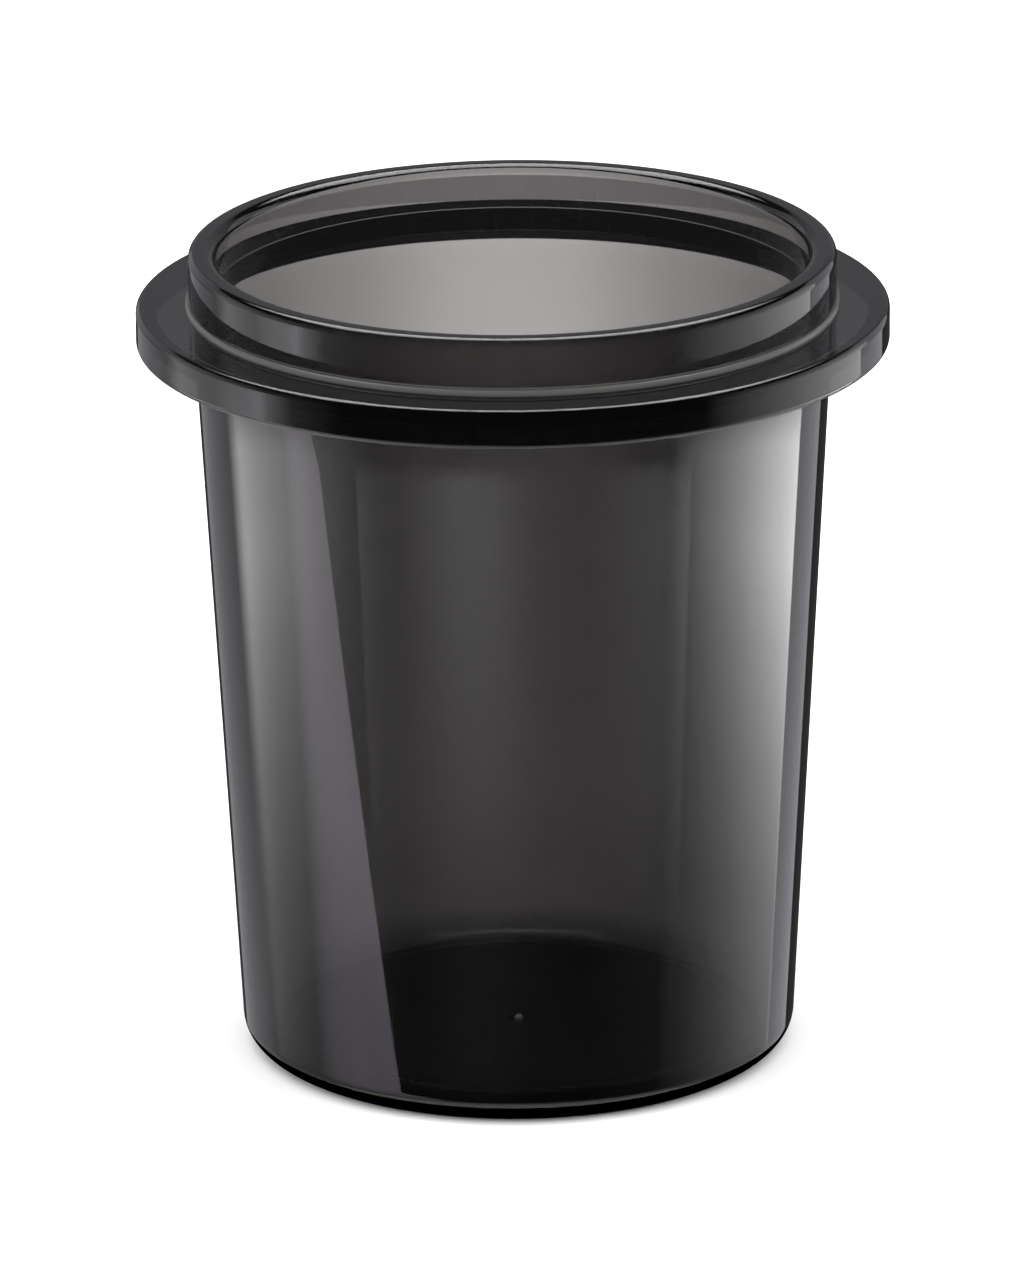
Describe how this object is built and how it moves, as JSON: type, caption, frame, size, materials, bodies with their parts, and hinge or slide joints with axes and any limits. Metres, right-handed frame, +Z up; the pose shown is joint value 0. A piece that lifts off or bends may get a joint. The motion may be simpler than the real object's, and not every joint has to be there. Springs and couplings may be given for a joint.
{
  "type": "rock tumbler barrel",
  "caption": "Open smoke-tinted tumbler barrel: a tapered transparent cup with a smoke-tinted flange ring that turns down in a skirt, a lid collar with a seal ring, and a flush floor pad.",
  "frame": {"origin": "centre of the base, on the surface that the barrel stands on", "axes": "+Z up along the barrel's axis of rotation, out of the mouth; X and Y are equal, because the barrel is round"},
  "size_m": [0.105, 0.105, 0.116],
  "materials": {
    "smoke_shell": "glossy smoke-tinted transparent plastic",
    "smoke_flange": "glossy smoke-tinted transparent plastic",
    "grey_seal": "smooth dark grey silicone",
    "black_pad": "matt"
  },
  "bodies": {
    "root": {"barrel_shell": "smoke_shell", "flange_ring": "smoke_flange", "lid_seal": "grey_seal", "floor_pad": "black_pad"}
  },
  "joints": []
}
